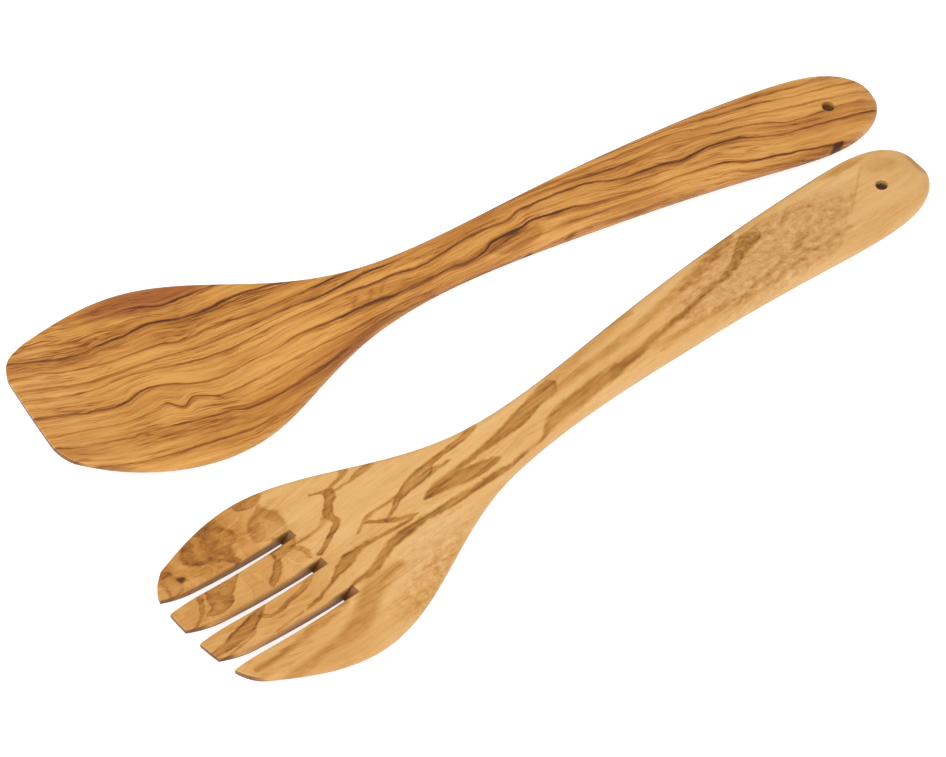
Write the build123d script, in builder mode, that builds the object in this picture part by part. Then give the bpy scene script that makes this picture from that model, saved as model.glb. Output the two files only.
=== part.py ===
"""A wooden spatula and a wooden serving fork, cut to one template and lying side by side on a table.

Frame: +Z up, the table is Z = 0, and +X runs along the fork's slots, from the tips to the handle.
Each utensil has a seat, a plane on the table at the front end of its axis: its local X runs along
the utensil from the head to the handle end, its local Y runs across it, and its local Z is up.
"""

import os

from build123d import *

# The template that both utensils share, in mm: stations along the axis, from head to handle. The
# fork's shoulders were cut a little closer to the neck than the spatula's.
LENGTH = 300.0
STATIONS = [12, 28, 48, 70, 92, 113, 135, 160, 190, 220, 250, 272]
SPATULA_HALF_WIDTHS = [27.6, 33.4, 36.0, 31.7, 21.4, 13.1, 9.6, 9.6, 11.4, 13.1, 14.8, 15.5]
FORK_HALF_WIDTHS = [27.6, 33.4, 36.0, 30.7, 20.7, 12.8, 9.7, 9.7, 11.4, 13.0, 14.6, 15.3]
THICKNESSES = [3.2, 3.7, 4.3, 5.0, 5.7, 6.4, 7.1, 7.7, 8.1, 8.1, 7.8, 7.2]
EDGE_ROUNDING = 0.42

# Heights of the mid-plane above the table at those stations. Both utensils lie on the belly of the
# head and on the handle end, with the grip bowed up between the two and the head's front lifted.
SPATULA_RISES = [14.2, 10.1, 6.6, 3.3, 3.0, 4.6, 6.8, 9.0, 10.3, 10.1, 8.2, 5.6]
FORK_RISES = [11.3, 7.5, 4.3, 2.8, 3.0, 4.3, 5.9, 8.0, 9.5, 9.3, 7.0, 4.8]
SPATULA_FRONT_RISE = 18.8
FORK_FRONT_RISE = 14.8
SPATULA_END_RISE = 2.6
FORK_END_RISE = 2.9

# The front end of the blank, before the front trim cuts it to its rounded outline.
FRONT_AT = -1.5
FRONT_HALF_WIDTH = 20.5
FRONT_THICKNESS = 2.2

# The handle end is a superellipse in plan, and its thickness closes in over the last stretch.
SPATULA_END_EXPONENT = 2.15
FORK_END_EXPONENT = 2.5
END_SHARES = [0.35, 0.6, 0.78, 0.89, 0.96, 0.993]
NOSE_LENGTH = 12.0

# The outline of each head's front: an edge that bulges forward by its crown, rounded corners, and
# sides that open outwards past the blank, by so much across for each mm along.
SPATULA_TRIM_HALF_WIDTH = 20.2
FORK_TRIM_HALF_WIDTH = 20.9
TRIM_CORNER_RADIUS = 13.0
TRIM_REACH = 60.0
SPATULA_TRIM_AT = -0.7
SPATULA_CROWN = 0.3
SPATULA_FLARE = 0.6
FORK_TRIM_AT = 0.3
FORK_CROWN = 2.4
FORK_FLARE = 0.8

# The front edge stands at a small angle to the utensil's axis, and so do the fork's slots. They
# turn about a point on the axis. Each slot widens slowly from its closed end, and its mouth flares,
# more on the spatula's side. The closed end slopes forward under the top face, as a saw leaves it.
FRONT_SKEW = 2.4
SKEW_PIVOT = 31.0
SLOT_PITCH = 14.5
SLOT_END = 54.0
SLOT_END_WIDTH = 2.4
SLOT_WIDTH = 3.2
SLOT_MOUTH_LENGTH = 14.0
SLOT_MOUTH_SIDES = (4.2, 2.6)
SLOT_END_HEIGHT = 6.0
SLOT_END_SLOPE = 43.0
SLOT_UPPER_ROUNDING = 0.9
SLOT_LOWER_ROUNDING = 0.3

# The hanging hole, square to the handle, and how far it stands aside of the axis.
HOLE_RADIUS = 2.0
HOLE_AT = 283.0
HOLE_RIM_BREAK = 0.3
SPATULA_HOLE_ASIDE = -0.3
FORK_HOLE_ASIDE = -1.0

# Where the middle of each utensil lies on the table, and which way it points, in degrees.
SPATULA_MIDDLE = (9.1, 15.3)
SPATULA_TURN = -15.3
FORK_MIDDLE = (-4.8, -48.0)
FORK_TURN = -FRONT_SKEW


def seat_plane(middle, turn):
    """The plane on the table at the front end of a utensil whose middle and direction are given."""
    middle_plane = Plane(origin=(*middle, 0)).rotated((0, 0, turn))
    front = middle_plane.from_local_coords((-LENGTH / 2, 0, 0))
    return Plane(front, x_dir=middle_plane.x_dir, z_dir=middle_plane.z_dir)


def utensil_sections(half_widths, end_exponent, front_rise, rises, end_rise):
    """Each section's place along the utensil, half width, mid-plane height and thickness."""
    sections = [(FRONT_AT, FRONT_HALF_WIDTH, front_rise, FRONT_THICKNESS)]
    sections += list(zip(STATIONS, half_widths, rises, THICKNESSES))
    last, width, rise, thickness = sections[-1]
    for share in END_SHARES:
        along = last + (LENGTH - last) * share
        half_width = width * (1 - share**end_exponent) ** (1 / end_exponent)
        into_nose = max(0.0, 1 - (LENGTH - along) / NOSE_LENGTH)
        nose_thickness = thickness * (1 - into_nose**2) ** 0.5
        sections.append((along, half_width, rise + (end_rise - rise) * share, nose_thickness))
    return sections


def blank_sketches(seat, sections):
    """Rounded cross-sections that stand square to the utensil's axis, ready to loft."""
    sketches = []
    for along, half_width, rise, thickness in sections:
        centre = seat.from_local_coords((along, 0, rise))
        with BuildSketch(Plane(centre, x_dir=seat.y_dir, z_dir=seat.x_dir)) as section:
            RectangleRounded(2 * half_width, thickness, EDGE_ROUNDING * thickness)
        sketches.append(section.sketch)
    return sketches


def skewed_plane(seat, along):
    """The seat turned by the front's skew, with its origin on the turned axis at a place along it."""
    pivot = Plane(seat.from_local_coords((SKEW_PIVOT, 0, 0)), x_dir=seat.x_dir, z_dir=seat.z_dir)
    turned = pivot.rotated((0, 0, FRONT_SKEW))
    origin = turned.from_local_coords((along - SKEW_PIVOT, 0, 0))
    return Plane(origin, x_dir=turned.x_dir, z_dir=turned.z_dir)


def front_outline(plane, half_width, crown, flare):
    """The plan outline that a blank is cut to, with the middle of its front edge at the origin."""
    back = LENGTH + TRIM_REACH
    opening = half_width + flare * TRIM_REACH
    with BuildSketch(plane) as outline:
        with BuildLine():
            edge = ThreePointArc((crown, -half_width), (0, 0), (crown, half_width))
            Polyline(
                edge @ 1,
                (crown + TRIM_REACH, opening),
                (back, opening),
                (back, -opening),
                (crown + TRIM_REACH, -opening),
                edge @ 0,
            )
        make_face()
        front_corners = outline.vertices().sort_by(Axis(plane.origin, plane.x_dir))[:2]
        fillet(front_corners, TRIM_CORNER_RADIUS)
    return outline.sketch


def slot_outlines(plane):
    """The fork's three slots in plan, side by side, closed at the plane's origin and open in front."""
    mouth = -SLOT_END
    throat = mouth + SLOT_MOUTH_LENGTH
    outside = mouth - TRIM_REACH
    left_flare, right_flare = SLOT_MOUTH_SIDES
    with BuildSketch() as slot:
        with BuildLine():
            left = Line((0, SLOT_END_WIDTH / 2), (throat, SLOT_WIDTH / 2))
            right = Line((0, -SLOT_END_WIDTH / 2), (throat, -SLOT_WIDTH / 2))
            left_arc = TangentArc(left @ 1, (mouth, left_flare), tangent=left % 1)
            right_arc = TangentArc(right @ 1, (mouth, -right_flare), tangent=right % 1)
            Polyline(left_arc @ 1, (outside, left_flare), (outside, -right_flare), right_arc @ 1)
            Line(left @ 0, right @ 0)
        make_face()
    with BuildSketch(plane) as outlines:
        with GridLocations(0, SLOT_PITCH, 1, 3):
            add(slot.sketch)
    return outlines.sketch


def slot_cutter(plane):
    """The space that the slots take out of the fork, with the slope of their closed ends."""
    top_of_end = plane.from_local_coords((0, 0, SLOT_END_HEIGHT))
    into_wood = plane.x_dir.rotate(Axis((0, 0, 0), plane.y_dir), SLOT_END_SLOPE)
    with BuildPart() as cutter:
        extrude(slot_outlines(plane), TRIM_REACH, both=True)
        split(bisect_by=Plane(top_of_end, x_dir=plane.y_dir, z_dir=into_wood), keep=Keep.BOTTOM)
    return cutter.part


def slot_rims(faces, upper):
    """The long edges of the slots' side walls: the upper ones, or else the lower ones."""
    side_walls = faces.filter_by(GeomType.PLANE).filter_by(lambda wall: wall.area > SLOT_END)
    rims = []
    for wall in side_walls:
        long_edges = wall.edges().filter_by(lambda edge: edge.length > SLOT_END / 2)
        rims.append(long_edges.sort_by(Axis.Z)[-1 if upper else 0])
    return rims


def hole_plane(seat, sections, aside):
    """The plane at the middle of the hanging hole, square to it and level with the mid-plane."""
    before = [section for section in sections if section[0] <= HOLE_AT][-1]
    after = [section for section in sections if section[0] > HOLE_AT][0]
    slope = (after[2] - before[2]) / (after[0] - before[0])
    centre = seat.from_local_coords((HOLE_AT, aside, before[2] + slope * (HOLE_AT - before[0])))
    along = seat.x_dir + seat.z_dir * slope
    return Plane(centre, x_dir=along, z_dir=along.cross(seat.y_dir))


def hole_rims(faces):
    """The two edges of the hanging hole."""
    walls = faces.filter_by(GeomType.CYLINDER)
    hole_wall = min(walls, key=lambda wall: wall.radius)
    return hole_wall.edges().filter_by(GeomType.LINE, reverse=True)


os.makedirs("parts", exist_ok=True)

spatula_seat = seat_plane(SPATULA_MIDDLE, SPATULA_TURN)
spatula_sections = utensil_sections(
    SPATULA_HALF_WIDTHS, SPATULA_END_EXPONENT, SPATULA_FRONT_RISE, SPATULA_RISES, SPATULA_END_RISE
)
spatula_trim_plane = skewed_plane(spatula_seat, SPATULA_TRIM_AT)
spatula_front = front_outline(spatula_trim_plane, SPATULA_TRIM_HALF_WIDTH, SPATULA_CROWN, SPATULA_FLARE)
with BuildPart() as spatula:
    loft(blank_sketches(spatula_seat, spatula_sections))
    extrude(spatula_front, TRIM_REACH, both=True, mode=Mode.INTERSECT)
    with Locations(hole_plane(spatula_seat, spatula_sections, SPATULA_HOLE_ASIDE)):
        Hole(HOLE_RADIUS)
    chamfer(hole_rims(spatula.faces()), HOLE_RIM_BREAK)
spatula.part.label = "spatula"
export_step(spatula.part, "parts/spatula.step")

fork_seat = seat_plane(FORK_MIDDLE, FORK_TURN)
fork_sections = utensil_sections(
    FORK_HALF_WIDTHS, FORK_END_EXPONENT, FORK_FRONT_RISE, FORK_RISES, FORK_END_RISE
)
fork_trim_plane = skewed_plane(fork_seat, FORK_TRIM_AT)
fork_front = front_outline(fork_trim_plane, FORK_TRIM_HALF_WIDTH, FORK_CROWN, FORK_FLARE)
with BuildPart() as fork:
    loft(blank_sketches(fork_seat, fork_sections))
    extrude(fork_front, TRIM_REACH, both=True, mode=Mode.INTERSECT)
    add(slot_cutter(skewed_plane(fork_seat, SLOT_END)), mode=Mode.SUBTRACT)
    with Locations(hole_plane(fork_seat, fork_sections, FORK_HOLE_ASIDE)):
        Hole(HOLE_RADIUS)
    chamfer(hole_rims(fork.faces()), HOLE_RIM_BREAK)
    fillet(slot_rims(fork.faces(), upper=False), SLOT_LOWER_ROUNDING)
    fillet(slot_rims(fork.faces(), upper=True), SLOT_UPPER_ROUNDING)
fork.part.label = "fork"
export_step(fork.part, "parts/fork.step")
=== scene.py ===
"""Looks of a wooden spatula and a wooden serving fork that lie side by side on a pale table.

Both shapes come from the CAD. This script gives each its own olive-wood grain, worked out in the
utensil's own millimetres: u runs along it from the head's front edge to the handle end, v runs
across it, and depth is measured down from the top face.
"""

import math

import bpy
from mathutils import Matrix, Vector

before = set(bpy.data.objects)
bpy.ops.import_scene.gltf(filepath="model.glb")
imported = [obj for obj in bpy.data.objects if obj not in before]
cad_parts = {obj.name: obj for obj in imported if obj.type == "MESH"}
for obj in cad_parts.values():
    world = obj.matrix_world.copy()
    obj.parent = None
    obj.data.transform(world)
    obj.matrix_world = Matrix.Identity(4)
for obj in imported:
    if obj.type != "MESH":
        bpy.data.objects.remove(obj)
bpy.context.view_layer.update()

MM = 0.001

# How long both utensils are, and how thick they are at places along them, in mm.
LENGTH = 300.0
THICKNESS = [(0, 2.4), (28, 3.7), (70, 5.0), (113, 6.4), (160, 7.7), (205, 8.1), (250, 7.8), (272, 7.2),
             (300, 5.5)]

# Where the middle of each utensil lies on the table in mm, and which way it points in degrees.
SPATULA_SEAT = ((9.1, 15.3), -15.3)
FORK_SEAT = ((-4.8, -48.0), -2.4)

# The height of each top face above the table at places along the utensil, in mm.
SPATULA_TOP = [(0, 19.6), (12, 15.8), (28, 12.0), (48, 8.8), (70, 5.8), (92, 5.9), (113, 7.8), (135, 10.4),
               (160, 12.9), (190, 14.4), (220, 14.2), (250, 12.1), (272, 9.2), (300, 5.0)]
FORK_TOP = [(0, 15.6), (12, 12.9), (28, 9.4), (48, 6.5), (70, 5.3), (92, 5.9), (113, 7.5), (135, 9.5),
            (160, 11.9), (190, 13.6), (220, 13.4), (250, 10.9), (272, 8.4), (300, 5.0)]

# The hanging holes: their radius, and where they are drilled, in mm.
HOLE_RADIUS = 2.0
HOLE_U = 283.0
SPATULA_HOLE_V = -0.3
FORK_HOLE_V = -1.0

# The fork's three slots, in mm: where the middle one's centre line crosses the fork's axis, their
# spacing, how far across all three reach, half the width of one at the front, how much of that goes
# with every mm, and where their closed ends are.
SLOT_PIVOT = 31.0
SLOT_PITCH = 14.5
SLOTS_REACH = 20.0
SLOT_HALF_WIDTH = 1.74
SLOT_NARROWING = 0.01
SLOT_END = 54.0

# The spans that places along, across and above a utensil, thicknesses and shares are given in.
ALONG = (-5.0, 305.0)
ACROSS = (-45.0, 45.0)
HEIGHTS = (0.0, 40.0)
THICKNESSES = (0.0, 10.0)
SHARES = (0.0, 1.0)

# The light is strong enough to turn the table white, so the wood's colours are this much darker.
WOOD_SHARE = 0.8

# The Mix node's sockets for colours.
MIX_FIRST, MIX_SECOND, MIX_RESULT = 6, 7, 2

# Where the camera looks and how far away it stands, in m, how far round and up it stands, and its
# sensor and lens, in mm.
VIEW_TARGET = Vector((-0.01583, -0.01908, 0.0))
VIEW_DISTANCE = 3.461
VIEW_TURN = math.radians(-42.66)
VIEW_RISE = math.radians(53.0)
SENSOR_WIDTH = 36.0
LENS = 418.4


def srgb(red, green, blue):
    """The linear colour of wood that looks like these 0 to 255 screen values under this light."""
    linear = []
    for value in (red, green, blue):
        value /= 255
        linear.append(WOOD_SHARE * ((value + 0.055) / 1.055) ** 2.4)
    return (*linear, 1.0)


class Field:
    """A number or a colour that varies over the surface: an output of a shader node."""

    def __init__(self, tree, socket):
        self.tree = tree
        self.socket = socket

    def math(self, operation, *others, clamp=False):
        node = self.tree.nodes.new("ShaderNodeMath")
        node.operation = operation
        node.use_clamp = clamp
        for place, value in enumerate((self, *others)):
            feed(node.inputs[place], value)
        return Field(self.tree, node.outputs[0])

    def __add__(self, other):
        return self.math("ADD", other)

    def __sub__(self, other):
        return self.math("SUBTRACT", other)

    def __mul__(self, other):
        return self.math("MULTIPLY", other)

    def __truediv__(self, other):
        return self.math("DIVIDE", other)

    def abs(self):
        return self.math("ABSOLUTE")

    def clamp(self):
        return self.math("ADD", 0.0, clamp=True)

    def max(self, other):
        return self.math("MAXIMUM", other)

    def min(self, other):
        return self.math("MINIMUM", other)

    def times_plus(self, factor, offset):
        return self.math("MULTIPLY_ADD", factor, offset)

    def step(self, low, high):
        """0 below low and 1 above high, with a smooth rise between; or falling, when low > high."""
        node = self.tree.nodes.new("ShaderNodeMapRange")
        node.interpolation_type = "SMOOTHSTEP"
        falling = low > high
        feed(node.inputs["Value"], self)
        node.inputs["From Min"].default_value = min(low, high)
        node.inputs["From Max"].default_value = max(low, high)
        node.inputs["To Min"].default_value = 1.0 if falling else 0.0
        node.inputs["To Max"].default_value = 0.0 if falling else 1.0
        return Field(self.tree, node.outputs["Result"])

    def curve(self, points, places, values):
        """A smooth curve through the points, level before the first of them and after the last."""
        node = self.tree.nodes.new("ShaderNodeFloatCurve")
        mapping = node.mapping
        mapping.extend = "HORIZONTAL"
        place_span, value_span = places[1] - places[0], values[1] - values[0]
        spots = [((x - places[0]) / place_span, (y - values[0]) / value_span) for x, y in points]
        line = mapping.curves[0]
        line.points[0].location = spots[0]
        line.points[1].location = spots[-1]
        for spot in spots[1:-1]:
            line.points.new(*spot)
        for point in line.points:
            point.handle_type = "AUTO_CLAMPED"
        mapping.update()
        feed(node.inputs["Value"], self.times_plus(1 / place_span, -places[0] / place_span))
        return Field(self.tree, node.outputs["Value"]).times_plus(value_span, values[0])

    def ramp(self, stops):
        """Colours or grey values at places from 0 to 1."""
        node = self.tree.nodes.new("ShaderNodeValToRGB")
        elements = node.color_ramp.elements
        while len(elements) < len(stops):
            elements.new(1.0)
        for element, (place, colour) in zip(elements, stops):
            element.position = place
            element.color = colour if isinstance(colour, tuple) else (colour, colour, colour, 1.0)
        feed(node.inputs["Fac"], self)
        return Field(self.tree, node.outputs["Color"])

    def blend(self, kind, share, other):
        """This colour blended with another, as far as share goes from 0 to 1."""
        node = self.tree.nodes.new("ShaderNodeMix")
        node.data_type = "RGBA"
        node.blend_type = kind
        node.clamp_factor = True
        feed(node.inputs["Factor"], share)
        feed(node.inputs[MIX_FIRST], self)
        feed(node.inputs[MIX_SECOND], other)
        return Field(self.tree, node.outputs[MIX_RESULT])

    def tint(self, share, red, green, blue):
        """This colour times a red, a green and a blue factor, as far as share goes from 0 to 1."""
        return self.blend("MULTIPLY", share, (red, green, blue, 1.0))


def feed(socket, value):
    """Gives a socket a field, or a plain number or colour."""
    if isinstance(value, Field):
        value.tree.links.new(value.socket, socket)
    else:
        socket.default_value = value


def noise(x, y, z, detail=2.0, roughness=0.5, distortion=0.0):
    """Cloudy noise, mostly from 0.3 to 0.7. x is a field, and y and z are fields or numbers."""
    where = x.tree.nodes.new("ShaderNodeCombineXYZ")
    for place, value in enumerate((x, y, z)):
        feed(where.inputs[place], value)
    node = x.tree.nodes.new("ShaderNodeTexNoise")
    feed(node.inputs["Vector"], Field(x.tree, where.outputs[0]))
    node.inputs["Scale"].default_value = 1.0
    node.inputs["Detail"].default_value = detail
    node.inputs["Roughness"].default_value = roughness
    node.inputs["Distortion"].default_value = distortion
    return Field(x.tree, node.outputs["Fac"])


def strongest(fields):
    """The highest of several fields at every point. Each field's nodes are made just before it's
    compared. Cycles works nodes out in the order they were made, and a material in which it has to
    hold too many values at a time turns black."""
    highest = None
    for field in fields:
        highest = field if highest is None else highest.max(field)
    return highest


def contours(field, levels):
    """Thin lines along a field's contours, each with its level, its half width and its strength."""
    return strongest((field - level).abs().step(width, 0.0) * strength for level, width, strength in levels)


def patch(u, v, centre, reach, turn, edge):
    """1 inside an ellipse and 0 outside it. edge is where it falls to 0 and to 1, in reaches."""
    cos, sin = math.cos(math.radians(turn)), math.sin(math.radians(turn))
    du, dv = u - centre[0], v - centre[1]
    along = (du * (cos / reach[0])) + (dv * (sin / reach[0]))
    across = (dv * (cos / reach[1])) - (du * (sin / reach[1]))
    distance = (along * along + across * across).math("SQRT")
    return distance.step(*edge)


def utensil_fields(tree, seat, top):
    """u, v and depth below the top face, in mm, for a utensil on its seat."""
    (middle_x, middle_y), turn = seat
    coordinates = tree.nodes.new("ShaderNodeTexCoord")
    mapping = tree.nodes.new("ShaderNodeMapping")
    mapping.vector_type = "TEXTURE"
    mapping.inputs["Location"].default_value = (middle_x * MM, middle_y * MM, 0)
    mapping.inputs["Rotation"].default_value = (0, 0, math.radians(turn))
    mapping.inputs["Scale"].default_value = (MM, MM, MM)
    tree.links.new(coordinates.outputs["Object"], mapping.inputs["Vector"])
    parts = tree.nodes.new("ShaderNodeSeparateXYZ")
    tree.links.new(mapping.outputs[0], parts.inputs[0])
    along, across, height = [Field(tree, parts.outputs[axis]) for axis in range(3)]
    along = along + LENGTH / 2
    depth = along.curve(top, ALONG, HEIGHTS) - height
    return along, across, depth


def pinholes(u, v, depth):
    """The wood's pores."""
    return noise(u * 0.55, v * 5.0, depth * 5.0, detail=1.0).step(0.66, 0.74)


def hollow_shade(u, v, depth, hole_v):
    """Painted shade: how much darker the wood is painted inside the hanging hole, on its thin front edge,
    along the far side's rounded edge and low down on its sides, where less light reaches."""
    du, dv = u - HOLE_U, v - hole_v
    reach = (du * du + dv * dv).math("SQRT")
    hole = reach.step(HOLE_RADIUS + 0.9, HOLE_RADIUS + 0.4) * depth.step(0.5, 1.8)
    front = depth.step(0.4, 1.0) * u.step(9.0, 5.0)
    far_edge = depth.step(0.3, 1.3) * v.step(1.0, 5.0)
    low_edge = (depth / u.curve(THICKNESS, ALONG, THICKNESSES)).step(0.6, 0.95)
    return (hole * 0.95).max(front * 0.85).max(far_edge * 0.6).max(low_edge * 0.7)


def wood_material(name):
    """An empty material and its shader."""
    material = bpy.data.materials.new(name)
    material.use_nodes = True
    tree = material.node_tree
    tree.nodes.clear()
    shader = tree.nodes.new("ShaderNodeBsdfPrincipled")
    output = tree.nodes.new("ShaderNodeOutputMaterial")
    tree.links.new(shader.outputs[0], output.inputs["Surface"])
    shader.inputs["Specular IOR Level"].default_value = 0.32
    return material, shader


def finish_wood(shader, colour, u, v, depth, tone, relief):
    """Colour, satin roughness and the fine relief of the pores and the dark grain."""
    feed(shader.inputs["Base Color"], colour)
    sheen = noise(u * 0.06, v * 0.5, depth * 0.5, detail=3.0)
    feed(shader.inputs["Roughness"], (sheen * 0.22) + (tone * 0.08) + 0.36)
    bump = colour.tree.nodes.new("ShaderNodeBump")
    bump.inputs["Strength"].default_value = 0.35
    bump.inputs["Distance"].default_value = 0.12 * MM
    feed(bump.inputs["Height"], relief)
    colour.tree.links.new(bump.outputs["Normal"], shader.inputs["Normal"])


# The spatula's grain: lines that run along it, in order from its lower edge to its upper edge, each
# with the places it passes through and how dark it is along its length.
SPATULA_LINES = [
    ([(0, -25), (20, -29.3), (50, -30.2), (70, -28.6), (100, -23), (130, -17), (200, -17), (250, -20),
      (300, -24)],
     [(0, 0.2), (20, 0.5), (60, 0.6), (72, 0.45), (80, 0.1), (300, 0)]),
    ([(0, -17.5), (10, -19), (30, -19.2), (50, -20.3), (60, -20.6), (65, -22), (75, -21.4), (90, -18.6),
      (104, -15.4), (118, -12.6), (140, -12), (175, -12.3), (200, -13), (250, -17.5), (300, -20)],
     [(0, 0.55), (30, 0.35), (50, 0.4), (65, 0.62), (75, 0.5), (90, 0.3), (104, 0.3), (118, 0.2),
      (175, 0.3), (300, 0.1)]),
    ([(0, -13), (12, -12.7), (25, -13.4), (37, -12.2), (42, -10.8), (46.5, -13.9), (51, -11.3),
      (60, -13.6), (75, -12.3), (90, -10.6), (104, -10), (118, -9.6), (130, -9.2), (160, -9.2),
      (170, -7.7), (178, -8.3), (190, -9), (205, -9.8), (240, -12.4), (250, -15), (300, -18)],
     [(0, 0.5), (12, 0.6), (30, 0.35), (43, 0.6), (48, 0.9), (52, 0.5), (65, 0.6), (80, 0.45),
      (104, 0.5), (118, 0.6), (130, 0.3), (165, 0.45), (190, 0.4), (230, 0.2), (300, 0.1)]),
    ([(0, -4.2), (10, -5), (20, -6.2), (30, -6), (35, -4), (41, -3.1), (48, -4.5), (55, -6.3),
      (63, -6.8), (75, -5.4), (85, -4.4), (95, -3.2), (104, -3.7), (115, -3.7), (123, -4.8),
      (132, -5.2), (146, -5.4), (150, -6.4), (157, -5.4), (161, -3.3), (167, -2.7), (172, -2.6),
      (175, -1.8), (180, -2.5), (188, -3.5), (197, -5.6), (210, -7.1), (228, -8), (240, -8.6),
      (247, -11), (255, -12.3), (268, -13.8), (279, -15), (300, -16)],
     [(0, 0.7), (20, 0.75), (32, 1), (48, 0.95), (60, 0.6), (75, 0.5), (90, 0.95), (108, 1), (123, 0.9),
      (134, 0.5), (148, 0.9), (162, 1), (185, 0.95), (195, 0.5), (215, 0.75), (245, 0.95), (278, 1),
      (284, 0.2), (300, 0)]),
    ([(0, 3.2), (10, 2.2), (22, 2), (35, 3.7), (45, 3), (60, 1.8), (75, 2.2), (85, 3.4), (104, 4),
      (113, 3.6), (119, 2.6), (126, 2), (138, 0.3), (143, 0.7), (152, 1.9), (162, 2.4), (168, 2),
      (174, 3.6), (190, 3.5), (200, 2.2), (205, 0.3), (212, -0.9), (220, -0.8), (230, -2.2), (240, -1),
      (250, -1.7), (257, -3.6), (263, -5), (272, -5.6), (285, -6.3), (300, -7.4)],
     [(0, 0.45), (22, 0.5), (45, 0.65), (60, 0.8), (76, 0.85), (90, 0.5), (113, 0.7), (126, 0.9),
      (150, 0.9), (165, 0.7), (180, 0.85), (205, 0.75), (245, 0.9), (262, 0.6), (285, 0.75),
      (300, 0.5)]),
    ([(0, 7), (10, 6.5), (25, 5.5), (40, 6.5), (60, 6.7), (80, 7.5), (92, 7.8), (104, 7), (113, 6.8),
      (120, 7.3), (130, 6.6), (150, 5.6), (170, 6.4), (190, 6), (200, 5), (212, 4.4), (225, 5.2),
      (245, 3.4), (260, 1.2), (272, -1.6), (285, -1.6), (300, -3.3)],
     [(0, 0.3), (25, 0.5), (60, 0.5), (92, 0.65), (120, 0.75), (135, 0.25), (160, 0.2), (190, 0.4),
      (212, 0.75), (225, 0.3), (248, 0.6), (285, 0.75), (300, 0.5)]),
    ([(0, 13), (10, 12.7), (20, 11.2), (30, 10.9), (40, 11.2), (48, 12.1), (58, 11), (68, 12.4),
      (78, 11.7), (90, 11), (112, 10.8), (130, 9.6), (150, 8), (170, 8.4), (200, 8.5), (225, 8.6),
      (245, 6.8), (262, 5), (280, 3), (300, 1)],
     [(0, 0.6), (25, 0.45), (48, 0.8), (60, 0.5), (80, 0.7), (112, 0.85), (130, 0.4), (200, 0.4),
      (245, 0.5), (300, 0.5)]),
    ([(0, 19), (10, 18.3), (25, 17), (32, 18.5), (40, 19), (52, 20.7), (60, 19.8), (70, 19.2), (80, 20),
      (90, 19), (96, 18), (130, 14), (160, 12), (200, 11), (240, 10.2), (260, 9.3), (275, 7.6),
      (300, 6)],
     [(0, 0.6), (25, 0.5), (40, 0.8), (55, 0.9), (64, 0.7), (80, 0.95), (96, 0.9), (130, 0.4),
      (300, 0.5)]),
    ([(0, 27), (20, 29), (40, 28.5), (50, 28), (60, 26.5), (70, 27.3), (80, 26.6), (130, 18),
      (200, 13.6), (240, 12.5), (270, 11.5), (300, 10)],
     [(0, 0.2), (30, 0.4), (48, 0.6), (60, 0.9), (78, 0.8), (130, 0.3), (300, 0.45)]),
]

# How dark a line is across a strip of wood this many mm wide: sharp above it and shaded below it.
LINE_STRIP = 12.0
LINE_PROFILE = [(0.0, 0.0), (0.32, 0.04), (0.45, 0.22), (0.48, 0.7), (0.5, 1.0), (0.52, 0.75), (0.545, 0.12),
                (0.62, 0.0)]

# How many lines to a mm the grain is counted as outside the outermost lines.
OUTER_RINGS = 0.16

SPATULA_COLOURS = [(0.0, srgb(240, 182, 106)), (0.25, srgb(227, 166, 89)), (0.45, srgb(205, 141, 66)),
                   (0.62, srgb(180, 113, 42)), (0.8, srgb(142, 80, 20)), (1.0, srgb(86, 43, 10))]


def spatula_rings(v, lines):
    """How many of the lines are passed on the way up from the lower edge. Whatever is drawn over
    this follows them."""
    ring = ((v - lines[0]) * OUTER_RINGS).min(0.0)
    for lower, upper in zip(lines, lines[1:]):
        ring = ring + ((v - lower) / (upper - lower)).clamp()
    return ring + ((v - lines[-1]) * OUTER_RINGS).max(0.0)


def spatula_dark_line(u, v, line, strengths):
    """One of the lines, as dark as its strengths say."""
    aside = (v - line).times_plus(1 / LINE_STRIP, 0.5)
    return aside.ramp(LINE_PROFILE) * u.curve(strengths, ALONG, SHARES)


def spatula_lesser_lines(u, ring):
    """Lesser lines between the dark ones: the contours of a noise that is stretched along them."""
    stretched = noise(u * 0.011, ring * 1.5, 0.0, detail=3.0, roughness=0.55)
    drawn = contours(stretched, ((0.40, 0.012, 0.5), (0.46, 0.02, 0.75), (0.52, 0.014, 0.6),
                                 (0.57, 0.022, 0.8), (0.63, 0.016, 0.5)))
    return drawn * noise(u * 0.03, ring * 0.9, 7.0).step(0.38, 0.62)


def spatula_finest_lines(u, ring):
    """The finest lines, many more of them, that come and go."""
    stretched = noise(u * 0.013, ring * 3.6, 17.0, detail=3.0, roughness=0.6)
    drawn = contours(stretched, ((0.42, 0.022, 0.7), (0.50, 0.026, 1.0), (0.58, 0.022, 0.7)))
    return drawn * noise(u * 0.025, ring * 0.7, 27.0).step(0.36, 0.6)


def spatula_knots(u, v):
    """Small dark knots near the lower edge of the handle."""
    knots = patch(u, v, (280.3, -16.2), (2.3, 1.9), 0, (1.2, 0.4))
    knots = knots.max(patch(u, v, (173, -12.4), (1.6, 0.8), 0, (1.3, 0.3)) * 0.7)
    return knots.max(patch(u, v, (187, -12.8), (2.0, 0.9), 0, (1.3, 0.3)) * 0.5)


def spatula_tick(u, v, place, slope):
    """A short faint stroke across the grain of the neck."""
    aside = (u - (v * slope + place)).abs().step(1.5, 0.1)
    return aside * v.step(-3.4, -2.0) * v.step(1.8, 0.2)


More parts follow.
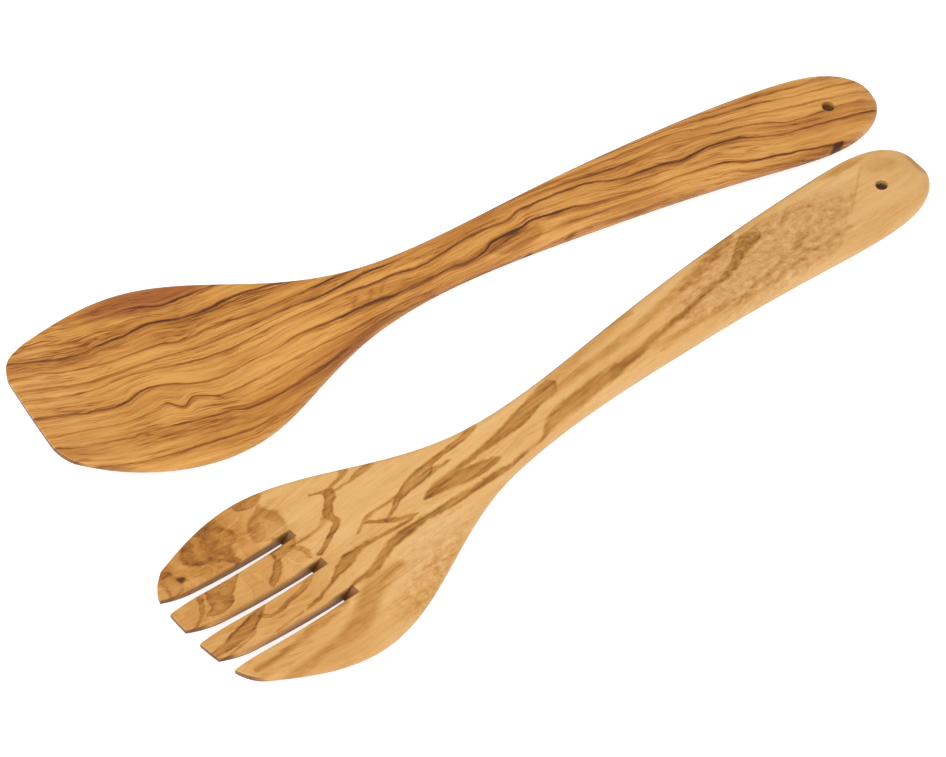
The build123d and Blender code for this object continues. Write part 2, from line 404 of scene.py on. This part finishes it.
def spatula_wood():
    material, shader = wood_material("spatula_olive_wood")
    plain_u, plain_v, depth = utensil_fields(material.node_tree, SPATULA_SEAT, SPATULA_TOP)

    # The grain slants on its way down through the wood.
    v = plain_v - depth * 0.45
    u = plain_u + depth * 0.6

    # The wood's own unevenness bends every line a little.
    sway = noise(u * 0.05, v * 0.11, depth * 0.05) - 0.5
    quiver = noise(u * 0.22, v * 0.5, 3.0) - 0.5
    v = v + sway * 1.6 + quiver * 0.9

    lines = [u.curve(points, ALONG, ACROSS) for points, _ in SPATULA_LINES]
    ring = spatula_rings(v, lines)
    dark = strongest(spatula_dark_line(u, v, line, strengths)
                     for line, (_, strengths) in zip(lines, SPATULA_LINES))
    lesser = spatula_lesser_lines(u, ring)
    finest = spatula_finest_lines(u, ring)

    # Broad bands, fine fibres and pores.
    bands = noise(u * 0.008, ring * 0.55, 11.0, detail=4.0, roughness=0.6)
    fibres = noise(u * 0.035, ring * 4.5, 0.0, detail=4.0, roughness=0.65)
    threads = noise(u * 0.12, v * 2.6, 5.0, detail=3.0, roughness=0.6)
    pores = pinholes(u, v, depth)
    clouds = noise(u * 0.03, v * 0.06, 2.0)

    # Places that are redder, browner or darker than the rest.
    red_rim = patch(u, v, (56, 31), (24, 6.5), -1, (1.2, 0.6))
    low_rim = patch(u, v, (14, -30), (11, 2.2), -20, (1.3, 0.5))
    brown_flank = patch(u, v, (108, -13), (36, 7.5), 14, (1.4, 0.3))
    burl = patch(u, v, (168, -6.3), (9.5, 3.2), 0, (1.15, 0.85))
    shadow = patch(u, v, (200, -8), (26, 4.5), -6, (1.3, 0.4))
    knots = spatula_knots(u, v)
    ticks = strongest(spatula_tick(u, v, *row) for row in ((113.6, 0.8), (119.2, 0.7), (123.6, 0.85)))

    tone = (bands - 0.5) * 1.1 + (fibres - 0.5) * 0.85 + (threads - 0.5) * 0.3 + (clouds - 0.5) * 0.3 + 0.33
    tone = tone + brown_flank * 0.14 + burl * 0.22 + shadow * 0.14
    tone = tone + lesser * 0.4 + ticks * 0.12 + pores * 0.07
    tone = tone + finest * (red_rim * 0.3 + 0.26)
    tone = (tone + dark * 0.6 + knots * 0.6).clamp()

    colour = tone.ramp(SPATULA_COLOURS)
    colour = colour.tint(red_rim * 0.9, 0.62, 0.42, 0.40)
    colour = colour.tint(low_rim * 0.7, 0.5, 0.4, 0.32)
    colour = colour.tint(u.step(6, 34) * (u.step(190, 130) * 0.7 + 0.3), 0.95, 0.92, 0.78)
    # Painted shade in the hanging hole, on the front edge and along the far and lower edges.
    colour = colour.tint(hollow_shade(plain_u, plain_v, depth, SPATULA_HOLE_V), 0.36, 0.27, 0.19)
    relief = (threads * 0.5) + (fibres * 0.5) - (pores * 0.5) - (dark * 0.25)
    finish_wood(shader, colour, u, v, depth, tone, relief)
    return material


# The fork's figure: bands of brown wood. Each row is how dark the band is, how much darker its rim is,
# how soft its edge is, and the places along it with its low and high edge.
FORK_BANDS = [
    # the arms that reach back from the neck over the head
    (0.36, 0.18, 0.5,
     [(79, 0.2, 1.0), (81, 0.8, 1.9), (84, 2.2, 3.8), (87, 3.6, 5.6), (90, 4.1, 7.0), (94, 4.3, 8.6),
      (98, 4.5, 9.2), (101, 5.0, 9.2), (103, 6.9, 9.3), (110, 7.3, 9.3), (117, 7.4, 9.8),
      (124, 9.6, 10.4)]),
    (0.3, 0.12, 0.5,
     [(95, 4.4, 6.5), (101, 4.3, 6.5), (104, 4.4, 5.7), (108, 4.4, 4.9)]),
    (0.36, 0.12, 0.6,
     [(94, -1.6, 0.0), (96, -1.2, 1.0), (100, -0.8, 1.7), (108, -0.4, 1.5), (115, -0.2, 1.6),
      (122, -0.3, 2.2), (128, -0.6, 3.2), (134, -0.8, 4.4), (139, 0.3, 5.3), (144, 1.1, 6.2),
      (150, 1.6, 6.6)]),
    (0.34, 0.1, 0.6,
     [(94, -1.6, 0.0), (97, -2.3, 0.6), (101, -3.4, 0.6), (105, -4.8, 0.4), (109, -5.7, -0.4),
      (113, -6.2, -1.8), (117, -6.0, -3.0), (120, -5.8, -4.2)]),
    (0.34, 0.16, 0.7,
     [(54, -12.6, -11.8), (58, -12.6, -11.0), (62, -13.0, -10.3), (66, -12.2, -8.8), (70, -10.4, -7.2),
      (74, -8.9, -5.8), (78, -8.4, -5.2), (82, -8.3, -5.5), (88, -8.0, -6.1), (94, -8.3, -6.4),
      (102, -9.3, -7.2), (110, -9.8, -8.0), (117, -10.2, -8.1), (122, -10.3, -9.3), (130, -9.6, -9.0),
      (138, -8.8, -8.2)]),
    (0.3, 0.0, 0.35,
     [(88, -7.3, -6.9), (96, -7.9, -7.4), (104, -8.6, -8.0), (112, -9.2, -8.6), (118, -9.5, -8.7),
      (121, -9.8, -9.2)]),
    (0.34, 0.12, 0.6,
     [(38, -11.3, -10.6), (42, -10.6, -9.7), (46, -9.2, -8.4), (50, -7.9, -7.0), (54, -6.6, -4.4),
      (58, -5.9, -2.0), (61, -5.2, -0.9), (64, -3.8, -1.2), (68, -2.9, -1.7), (74, -3.4, -2.5),
      (80, -4.2, -3.0), (84, -4.4, -3.4), (88, -4.0, -3.5)]),
    # the zigzag between them
    (0.36, 0.1, 0.45,
     [(73, 3.8, 4.7), (76, 1.7, 2.8), (79, -0.6, 1.4), (81, -1.8, 0.4), (83, -3.0, -1.1),
      (85, -3.5, -2.2), (88, -4.1, -3.4)]),
    (0.26, 0.1, 0.5,
     [(69, 2.3, 2.9), (72, 3.8, 4.6), (76, 5.2, 6.3), (79, 5.4, 6.3), (83, 4.9, 5.8), (88, 4.8, 5.8)]),
    # the hook at the top of the head
    (0.22, 0.1, 0.6,
     [(52, 10.7, 11.3), (56, 10.8, 11.6), (60, 11.1, 12.4), (63, 11.8, 13.6), (66, 12.6, 15.2)]),
    (0.28, 0.12, 0.4,
     [(73, 19.5, 20.3), (80, 19.4, 20.2), (84, 19.0, 21.3), (87, 19.2, 21.2), (90, 19.8, 20.6)]),
    (0.26, 0.1, 0.5,
     [(72, 21.3, 22.0), (78, 22.3, 23.2), (80, 22.6, 25.4), (82, 23.2, 26.0)]),
    # the tines
    (0.3, 0.22, 0.5,
     [(0, -11.7, -9.4), (5, -11.3, -8.3), (10, -10.8, -6.6), (14, -10.2, -5.2), (17, -9.2, -4.4),
      (20, -7.4, -3.6), (24, -4.9, -2.4), (28, -2.4, -1.2)]),
    (0.25, 0.1, 0.35,
     [(2, -13.8, -13.2), (8, -12.6, -11.9), (14, -11.1, -10.4), (18, -9.6, -8.9)]),
    (0.2, 0.16, 0.5,
     [(23, -5.8, -4.8), (27, -7.4, -6.4), (31, -6.9, -5.7), (36, -5.4, -4.1), (40, -5.0, -3.2),
      (44, -3.6, -1.8), (47, -2.2, -1.4)]),
    (0.2, 0.1, 0.3,
     [(24, -13.2, -12.7), (30, -12.0, -11.4), (36, -11.5, -11.0)]),
    (0.24, 0.08, 1.0,
     [(8, -22.4, -21.2), (15, -22.1, -20.7), (22, -21.4, -20.0), (28, -20.3, -18.6), (33, -19.5, -16.8),
      (38, -18.9, -15.8), (44, -18.0, -15.4), (49, -16.9, -15.6)]),
    (0.24, 0.03, 1.6,
     [(15, -31.0, -29.4), (22, -30.8, -28.2), (30, -28.8, -26.7), (38, -28.5, -25.2),
      (46, -28.4, -21.8), (51, -26.6, -18.5), (56, -23.0, -15.0), (61, -20.0, -13.0),
      (66, -17.2, -13.4), (72, -15.5, -14.0)]),
    (0.24, 0.08, 0.5,
     [(3.5, 1.2, 2.0), (6, 2.4, 3.5), (8, 3.6, 5.4), (10, 5.6, 8.6), (12, 8.4, 12.0),
      (14, 11.0, 14.0)]),
    # the neck and the grip
    (0.33, 0.08, 0.9,
     [(137, -8.4, -7.6), (140, -8.6, -4.6), (144, -8.6, -3.2), (150, -8.4, -2.8), (158, -7.8, -2.7),
      (166, -7.4, -3.0), (175, -6.6, -3.6), (183, -5.2, -3.2), (190, -4.6, -2.6), (200, -2.9, -1.7),
      (208, -1.7, -0.7), (214, -1.2, 0.2)]),
    (0.26, 0.08, 0.7,
     [(206, -1.9, -0.9), (214, -1.2, 0.0), (219, -0.8, 1.2), (223, 0.2, 3.2), (227, 2.2, 6.0),
      (230, 3.3, 8.2), (233, 3.8, 9.2), (236, 4.8, 8.6), (238, 6.2, 7.6)]),
    (0.16, 0.04, 1.2,
     [(146, 4.0, 6.8), (158, 5.2, 7.4), (172, 6.2, 8.4), (186, 7.6, 9.8)]),
    (0.2, 0.06, 1.2,
     [(146, 1.2, 3.6), (165, 1.0, 3.0), (180, 1.2, 3.2), (190, 2.2, 4.6), (200, 3.6, 6.6),
      (212, 5.4, 8.8), (222, 7.6, 11.4), (230, 9.8, 14.0)]),
    (0.12, 0.05, 1.0,
     [(185, -9.4, -8.4), (195, -8.8, -7.2), (205, -9.6, -8.2), (222, -11.5, -10.4)]),
    (0.14, 0.05, 0.9,
     [(222, -9.0, -8.2), (232, -7.6, -6.6), (242, -5.6, -4.2), (250, -3.0, -1.6)]),
    (0.14, 0.05, 0.9,
     [(226, -12.0, -11.2), (238, -10.6, -9.4), (252, -9.2, -8.2), (264, -8.8, -8.0)]),
]

# Bands that run across the fork instead. Their places are across it, and their edges are along it.
FORK_CROSS_BANDS = [
    (0.38, 0.1, 0.6,
     [(4, 53.2, 56.5), (5, 55.4, 59.0), (6, 57.3, 60.6), (7, 59.0, 62.6), (8, 60.9, 65.2),
      (9, 62.8, 67.2), (10, 64.6, 67.9), (11, 65.4, 68.0), (12.8, 64.6, 67.9), (14, 64.4, 68.6),
      (16, 66.0, 70.6), (18, 68.0, 72.8), (19.5, 69.6, 73.9), (21, 70.2, 74.2), (22.5, 68.6, 72.0),
      (23.5, 66.6, 67.8)]),
    (0.26, 0.16, 0.6,
     [(3.6, 9.0, 19.5), (5, 11.8, 21.2), (7, 12.8, 22.6), (9, 13.4, 25.0), (11, 14.6, 27.4),
      (13, 16.0, 29.0)]),
    (0.26, 0.14, 0.7,
     [(2.6, 33.8, 36.2), (4, 34.8, 39.2), (6, 37.2, 41.0), (8, 39.2, 42.6), (9.6, 41.0, 44.0),
      (10.4, 41.6, 50.6), (12, 42.2, 52.0), (13.5, 43.0, 52.5)]),
    (0.22, 0.14, 0.6,
     [(4.8, 50.8, 52.0), (7, 51.0, 52.6), (9, 50.4, 52.4), (10.6, 49.0, 51.0)]),
    (0.19, 0.1, 1.0,
     [(16, 31.0, 33.2), (19, 28.6, 32.8), (22, 20.0, 34.2), (25, 17.2, 38.4), (28, 18.4, 38.0),
      (31, 22.0, 36.6), (34, 26.0, 36.4), (37, 28.0, 36.8)]),
    (0.14, 0.1, 0.9,
     [(16, 5.4, 10.0), (18, 5.6, 11.6), (21, 5.2, 11.8), (23.5, 6.2, 11.2), (25, 8.0, 11.0)]),
    (0.2, 0.1, 0.8,
     [(17, 46.8, 53.0), (20, 41.2, 54.0), (23, 42.4, 54.4), (26, 44.0, 54.0), (28, 46.8, 52.4),
      (30, 50.8, 52.4)]),
    (0.24, 0.12, 0.7,
     [(32, 45.8, 53.6), (34, 44.6, 55.4), (37, 44.0, 56.0)]),
]

# How far past its first and last place a band comes to a point, and how many mm across it are
# shaded.
BAND_TIP = 2.0
BAND_STRIP = 16.0

FORK_COLOURS = [(0.0, srgb(240, 196, 134)), (0.25, srgb(225, 175, 108)), (0.45, srgb(207, 151, 80)),
                (0.65, srgb(179, 122, 49)), (0.85, srgb(136, 84, 28)), (1.0, srgb(92, 52, 18))]


def fork_band(along, across, spans, row):
    """A band of dark wood between two curves, as a colour: its body in red and its darker rim in
    green. The curves cross over past both ends, which closes it."""
    fill, rim, soft, edges = row
    (first, first_low, first_high), (last, last_low, last_high) = edges[0], edges[-1]
    start, start_middle = first - BAND_TIP, (first_low + first_high) / 2
    end, end_middle = last + BAND_TIP, (last_low + last_high) / 2
    lows = [(place, low) for place, low, _ in edges]
    highs = [(place, high) for place, _, high in edges]
    lows = [(start, start_middle + BAND_TIP), *lows, (end, end_middle + BAND_TIP)]
    highs = [(start, start_middle - BAND_TIP), *highs, (end, end_middle - BAND_TIP)]
    inside = (across - along.curve(lows, *spans)).min(along.curve(highs, *spans) - across)
    inside = inside.times_plus(1 / BAND_STRIP, 0.5)
    edge = soft / BAND_STRIP
    return inside.ramp([(0.5 - edge, (0, 0, 0, 1)), (0.5, (fill * 0.5, rim, 0, 1)),
                        (0.5 + 0.5 * edge, (fill * 0.8, rim, 0, 1)), (0.5 + edge, (fill, rim * 0.4, 0, 1)),
                        (0.5 + 1.8 * edge, (fill, 0, 0, 1)), (0.5 + 6 * edge, (fill * 0.72, 0, 0, 1))])


def fork_bands(u, v):
    """The bodies and the rims of all the bands, laid over each other one by one."""
    drawn = fork_band(u, v, (ALONG, ACROSS), FORK_BANDS[0])
    for row in FORK_BANDS[1:]:
        drawn = drawn.blend("LIGHTEN", 1.0, fork_band(u, v, (ALONG, ACROSS), row))
    for row in FORK_CROSS_BANDS:
        drawn = drawn.blend("LIGHTEN", 1.0, fork_band(v, u, (ACROSS, ALONG), row))
    split = u.tree.nodes.new("ShaderNodeSeparateColor")
    feed(split.inputs[0], drawn)
    return Field(u.tree, split.outputs[0]), Field(u.tree, split.outputs[1])


def fork_lesser_lines(u, v, grain):
    """Weak lines between the bands: the contours of a noise that is stretched along the grain."""
    stretched = noise(u * 0.014, grain * 0.2, 0.0, detail=3.0, roughness=0.55)
    drawn = contours(stretched, ((0.42, 0.02, 0.5), (0.5, 0.03, 0.8), (0.58, 0.02, 0.6)))
    return drawn * noise(u * 0.03, v * 0.15, 7.0).step(0.42, 0.66)


def fork_marbling(u, v):
    """Small cloudy patches with darker outlines, on the tines."""
    marbled = noise(u * 0.10, v * 0.13, 55.0, detail=3.0, roughness=0.55, distortion=1.3)
    return marbled.step(0.49, 0.53) * 0.08 + (marbled - 0.51).abs().step(0.03, 0.0) * 0.09


def slot_shade(u, v, depth):
    """Painted shade: how much darker the wood is painted on the walls of the slots, most of all at the
    bottom and at the closed ends, where less light reaches. The slots stand at a small angle to u, as
    the fork does to the table."""
    lean = math.tan(math.radians(FORK_SEAT[1]))
    along = u - v * lean
    beside = v + (u - SLOT_PIVOT) * lean
    # A centre line comes out as a half, and 10 more keeps the count above 0 all over the fork.
    nearest = ((beside / SLOT_PITCH + 10.5).math("FRACT") - 0.5).abs() * SLOT_PITCH
    half_width = along.times_plus(-SLOT_NARROWING, SLOT_HALF_WIDTH)
    wall = (nearest - half_width).step(0.85, 0.1) * beside.abs().step(SLOTS_REACH, SLOTS_REACH - 1.0)
    wall = wall * along.step(SLOT_END + 0.3, SLOT_END)
    deep = depth.step(0.4, 3.4)
    closed_end = u.step(SLOT_END - 11.0, SLOT_END - 4.0)
    strength = (deep * u.step(5.0, 22.0) * 0.8).max(closed_end * (deep * 0.25 + 0.75))
    return wall * strength


def fork_wood():
    material, shader = wood_material("fork_olive_wood")
    plain_u, plain_v, depth = utensil_fields(material.node_tree, FORK_SEAT, FORK_TOP)

    # The grain slants on its way down through the wood.
    v = plain_v - depth * 0.45
    u = plain_u + depth * 0.8

    # The wood's own unevenness bends and frays the bands.
    sway = noise(u * 0.09, v * 0.11, depth * 0.05) - 0.5
    drift = noise(u * 0.09, v * 0.11, 9.0) - 0.5
    quiver = noise(u * 0.42, v * 0.5, 3.0, detail=3.0, roughness=0.6) - 0.5
    ragged = noise(u * 0.42, v * 0.5, 13.0, detail=3.0, roughness=0.6) - 0.5
    drawn_v = v + sway * 1.2 + quiver * 1.3
    drawn_u = u + drift * 1.6 + ragged * 1.8
    bodies, rims = fork_bands(drawn_u, drawn_v)

    # The weak grain between the bands bends much more, over a longer way.
    grain = v + noise(u * 0.016, v * 0.045, 20.0) * 14.0
    lesser = fork_lesser_lines(u, v, grain)

    # Broad bands, fine fibres, pores and clouds.
    bands = noise(u * 0.014, grain * 0.09, 11.0, detail=4.0, roughness=0.6)
    fibres = noise(u * 0.05, grain * 0.8, 0.0, detail=4.0, roughness=0.65)
    threads = noise(u * 0.16, v * 2.4, 5.0, detail=3.0, roughness=0.6)
    pores = pinholes(u, v, depth)
    blotches = noise(u * 0.16, v * 0.2, 2.0, detail=4.0, roughness=0.6)
    clouds = noise(u * 0.06, v * 0.2, 31.0, detail=3.0, roughness=0.6)
    traced = noise(u * 0.12, v * 0.25, 41.0, roughness=0.6).step(0.36, 0.6)
    figure = bodies * (clouds * 1.6 + 0.3) * (fibres * 0.8 + 0.6) + rims * traced * 1.5
    mottle = noise(u * 0.3, v * 0.45, 4.0, detail=4.0, roughness=0.7)

    # Places that are greyer, browner or darker than the rest. The grip's grey ends in a dark arc.
    grey = patch(drawn_u, drawn_v, (236, -2), (42, 13), 0, (1.15, 0.8))
    grey = grey * (drawn_u - (v * 1.15 + 271.5)).step(1.2, -1.2)
    arc_line = (drawn_u - (v * 1.15 + 272.3)).abs().step(1.1, 0.2) * v.step(-6, -2) * v.step(9.5, 8)
    tine_cloud = patch(u, v, (24, 27), (20, 11), 0, (1.2, 0.6))
    head_grey = patch(u, v, (84, -17), (22, 7.5), 16, (1.3, 0.4))
    low_flank = patch(u, v, (76, -27), (20, 7), 14, (1.4, 0.5))
    tines = u.step(62, 30) * v.step(-16, 0)
    wedge = patch(drawn_u, drawn_v, (287.5, 6.0), (6.5, 3.4), -24, (1.2, 0.6))
    streak = patch(drawn_u, drawn_v, (277, 12.0), (9, 1.4), -4, (1.3, 0.4))
    end_rim = patch(u, v, (299.5, -1), (2.4, 7), 0, (1.2, 0.5))
    knot = patch(drawn_u, drawn_v, (12.6, 19.9), (1.7, 1.5), 0, (1.3, 0.3))

    tone = (bands - 0.5) * 0.5 + (fibres - 0.5) * 0.32 + (threads - 0.5) * 0.2 + (mottle - 0.5) * 0.16 + 0.25
    tone = tone + tine_cloud * (blotches - 0.4) + tines * 0.07
    tone = tone + fork_marbling(u, v) * plain_u.step(64, 50) * v.step(-3, 5)
    tone = tone + lesser * plain_u.step(70, 40) * v.step(4, -3) * 0.16
    tone = tone + grey * (mottle - 0.4)
    tone = tone + low_flank * ((mottle - 0.5) * 0.8 + 0.14)
    tone = tone + wedge * 0.15 + streak * 0.26 + arc_line * 0.14 + knot * 0.6 + end_rim * 0.25
    tone = tone + lesser * 0.13 + pores * 0.06 + head_grey * (mottle - 0.56) * 0.5
    tone = (tone + figure).clamp()

    colour = tone.ramp(FORK_COLOURS)
    colour = colour.tint(grey.max(head_grey * 0.7), 0.97, 0.96, 1.06)
    colour = colour.tint(plain_u.step(66, 34) * 0.7 + tine_cloud * 0.4, 0.94, 0.83, 0.66)
    # Painted shade in the hanging hole, along the edges and on the walls of the slots.
    painted_hollow_and_edge_shade = hollow_shade(plain_u, plain_v, depth, FORK_HOLE_V)
    colour = colour.tint(painted_hollow_and_edge_shade.max(slot_shade(plain_u, plain_v, depth)), 0.22, 0.13, 0.06)
    relief = (threads * 0.5) + (fibres * 0.5) - (pores * 0.5) - (figure * 0.15)
    finish_wood(shader, colour, u, v, depth, tone, relief)
    return material


def pale_floor():
    """A plain white table, just below the utensils."""
    bpy.ops.mesh.primitive_plane_add(size=6.0, location=(0, 0, -0.2 * MM))
    floor = bpy.context.object
    floor.name = "floor"
    material = bpy.data.materials.new("pale_floor")
    material.use_nodes = True
    shader = material.node_tree.nodes["Principled BSDF"]
    shader.inputs["Base Color"].default_value = (0.6, 0.6, 0.6, 1)
    shader.inputs["Roughness"].default_value = 0.9
    shader.inputs["Specular IOR Level"].default_value = 0.0
    shader.inputs["Emission Color"].default_value = (1, 1, 1, 1)
    shader.inputs["Emission Strength"].default_value = 0.75
    floor.data.materials.append(material)
    return floor


def white_surroundings():
    """Soft light from all round."""
    world = bpy.data.worlds.new("studio")
    world.use_nodes = True
    background = world.node_tree.nodes["Background"]
    background.inputs["Color"].default_value = (1, 1, 1, 1)
    background.inputs["Strength"].default_value = 0.62
    bpy.context.scene.world = world


def area_light(view_back, name, aside, nearer, above, size, power):
    """A square light that faces the utensils, placed by how far it stands to the camera's right,
    nearer the camera and above the table, in m."""
    right = Vector((0, 0, 1)).cross(view_back).normalized()
    level_back = Vector((view_back.x, view_back.y, 0)).normalized()
    place = VIEW_TARGET + right * aside + level_back * nearer + Vector((0, 0, above))
    data = bpy.data.lights.new(name, "AREA")
    data.shape = "SQUARE"
    data.size = size
    data.energy = power
    light = bpy.data.objects.new(name, data)
    light.location = place
    light.rotation_mode = "QUATERNION"
    light.rotation_quaternion = (place - VIEW_TARGET).to_track_quat("Z", "Y")
    bpy.context.scene.collection.objects.link(light)


def main_camera(view_back):
    """The camera, which looks at the utensils from the front and above."""
    data = bpy.data.cameras.new("camera")
    data.sensor_width = SENSOR_WIDTH
    data.lens = LENS
    data.clip_start = 0.1
    data.clip_end = 20.0
    camera = bpy.data.objects.new("camera", data)
    camera.location = VIEW_TARGET + view_back * VIEW_DISTANCE
    camera.rotation_mode = "QUATERNION"
    camera.rotation_quaternion = view_back.to_track_quat("Z", "Y")
    bpy.context.scene.collection.objects.link(camera)
    return camera


for node, make, slot_name in (("spatula", spatula_wood, "spatula_wood"), ("fork", fork_wood, "fork_wood")):
    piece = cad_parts[node]
    piece.data.materials.clear()
    piece.data.materials.append(make())

floor = pale_floor()
white_surroundings()

view_back = Vector((math.sin(VIEW_TURN) * math.cos(VIEW_RISE), -math.cos(VIEW_TURN) * math.cos(VIEW_RISE),
                    math.sin(VIEW_RISE)))
area_light(view_back, "key", aside=-0.7, nearer=0.5, above=1.5, size=1.2, power=20)
area_light(view_back, "fill", aside=0.9, nearer=0.9, above=1.1, size=1.2, power=8)
bpy.context.scene.camera = main_camera(view_back)
bpy.context.scene.view_settings.view_transform = "Standard"
